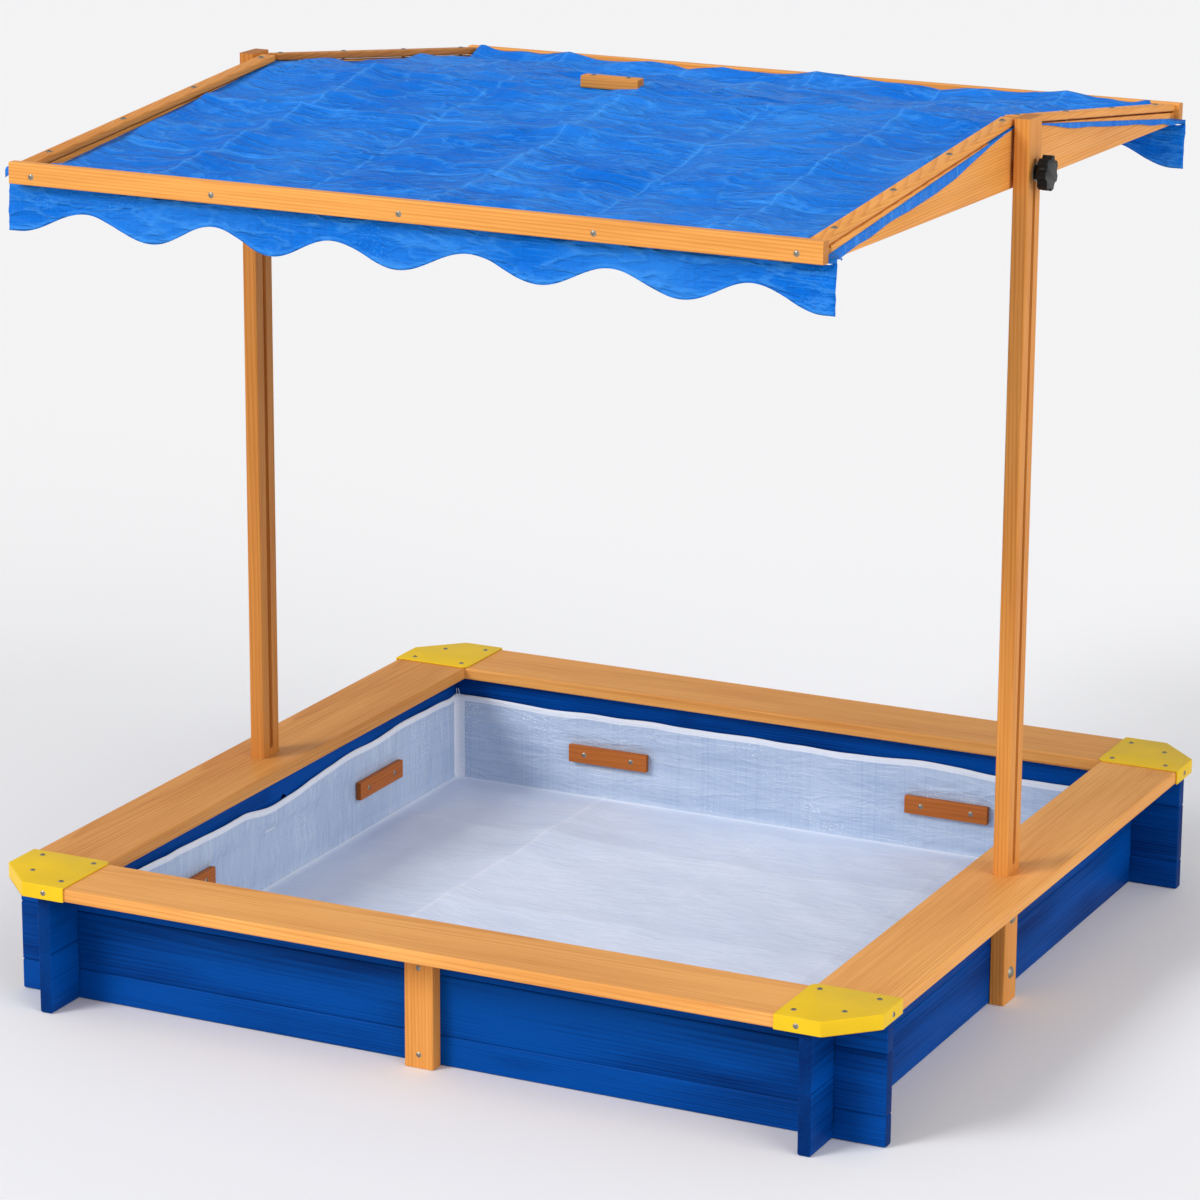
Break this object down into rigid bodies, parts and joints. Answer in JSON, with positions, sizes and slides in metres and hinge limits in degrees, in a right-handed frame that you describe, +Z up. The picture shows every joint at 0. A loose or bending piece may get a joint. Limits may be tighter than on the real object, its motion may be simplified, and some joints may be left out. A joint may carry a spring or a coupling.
{
  "type": "sandbox with cover",
  "caption": "Square wooden sandbox with bench edges, corner caps, a liner and a gabled cloth roof on two slotted posts that lowers as a cover and tilts.",
  "frame": {"origin": "on the ground at the middle of the box", "axes": "+Z up, +X across from the left post to the right post, +Y from the front to the back"},
  "size_m": [1.183, 1.1847, 1.1255],
  "materials": {
    "bench_wood": "honey-stained softwood, satin",
    "roof_wood": "honey-stained softwood, satin",
    "blue_wood": "blue-stained softwood with the grain showing",
    "strip_wood": "brown-stained softwood",
    "yellow_plastic": "satin moulded plastic",
    "black_plastic": "moulded plastic",
    "blue_cloth": "woven coated tarpaulin with a sheen",
    "liner_cloth": "white woven plastic cloth",
    "zinc_steel": "zinc plated",
    "brass": "turned"
  },
  "bodies": {
    "sandbox": {"back_bench": "bench_wood", "back_brace": "roof_wood", "back_left_cap": "yellow_plastic", "back_right_cap": "yellow_plastic", "back_strips": "strip_wood", "back_wall_bottom": "blue_wood", "back_wall_middle": "blue_wood", "back_wall_top": "blue_wood", "brace_screws": "zinc_steel", "cap_screws": "zinc_steel", "front_bench": "bench_wood", "front_brace": "roof_wood", "front_left_cap": "yellow_plastic", "front_right_cap": "yellow_plastic", "front_strips": "strip_wood", "front_wall_bottom": "blue_wood", "front_wall_middle": "blue_wood", "front_wall_top": "blue_wood", "left_bench": "bench_wood", "left_post": "roof_wood", "left_strips": "strip_wood", "left_wall_lower": "blue_wood", "left_wall_upper": "blue_wood", "liner": "liner_cloth", "post_bolts": "zinc_steel", "post_nuts": "zinc_steel", "right_bench": "bench_wood", "right_post": "roof_wood", "right_strips": "strip_wood", "right_wall_lower": "blue_wood", "right_wall_upper": "blue_wood", "strip_screws": "zinc_steel"},
    "carriage": {"left_pivot_bolt": "zinc_steel", "right_pivot_bolt": "zinc_steel", "left_washers": "zinc_steel", "right_washers": "zinc_steel"},
    "roof": {"left_gable": "roof_wood", "right_gable": "roof_wood", "front_rail": "roof_wood", "back_rail": "roof_wood", "ridge_beam": "roof_wood", "roof_cloth": "blue_cloth", "left_front_batten": "roof_wood", "left_back_batten": "roof_wood", "right_front_batten": "roof_wood", "right_back_batten": "roof_wood", "front_fascia": "roof_wood", "back_fascia": "roof_wood", "ridge_block": "roof_wood", "fascia_screws": "zinc_steel", "batten_screws": "zinc_steel", "block_screws": "zinc_steel", "frame_screws": "zinc_steel"},
    "left_grip": {"left_knob": "black_plastic", "left_knob_insert": "brass"},
    "right_grip": {"right_knob": "black_plastic", "right_knob_insert": "brass"},
    "front_flap": {"front_valance": "blue_cloth"},
    "back_flap": {"back_valance": "blue_cloth"}
  },
  "joints": [
    {"name": "roof_slide", "type": "slide", "parent": "sandbox", "child": "carriage", "axis": [0, 0, 1], "range_m": [-0.845, 0.012], "deforming": ["front_valance", "back_valance"]},
    {"name": "roof_tilt", "type": "hinge", "parent": "carriage", "child": "roof", "pos_m": [0, 0, 1.052], "axis": [1, 0, 0], "range_deg": [0, 35]},
    {"name": "left_knob_turn", "type": "hinge", "parent": "carriage", "child": "left_grip", "pos_m": [-0.55, 0, 1.052], "axis": [-1, 0, 0], "continuous": true},
    {"name": "right_knob_turn", "type": "hinge", "parent": "carriage", "child": "right_grip", "pos_m": [0.55, 0, 1.052], "axis": [1, 0, 0], "continuous": true},
    {"name": "front_flap_swing", "type": "hinge", "parent": "roof", "child": "front_flap", "pos_m": [0, -0.57529, 1.04245], "axis": [-1, 0, 0], "range_deg": [0, 80]},
    {"name": "back_flap_swing", "type": "hinge", "parent": "roof", "child": "back_flap", "pos_m": [0, 0.57446, 1.01856], "axis": [1, 0, 0], "range_deg": [0, 80]}
  ]
}
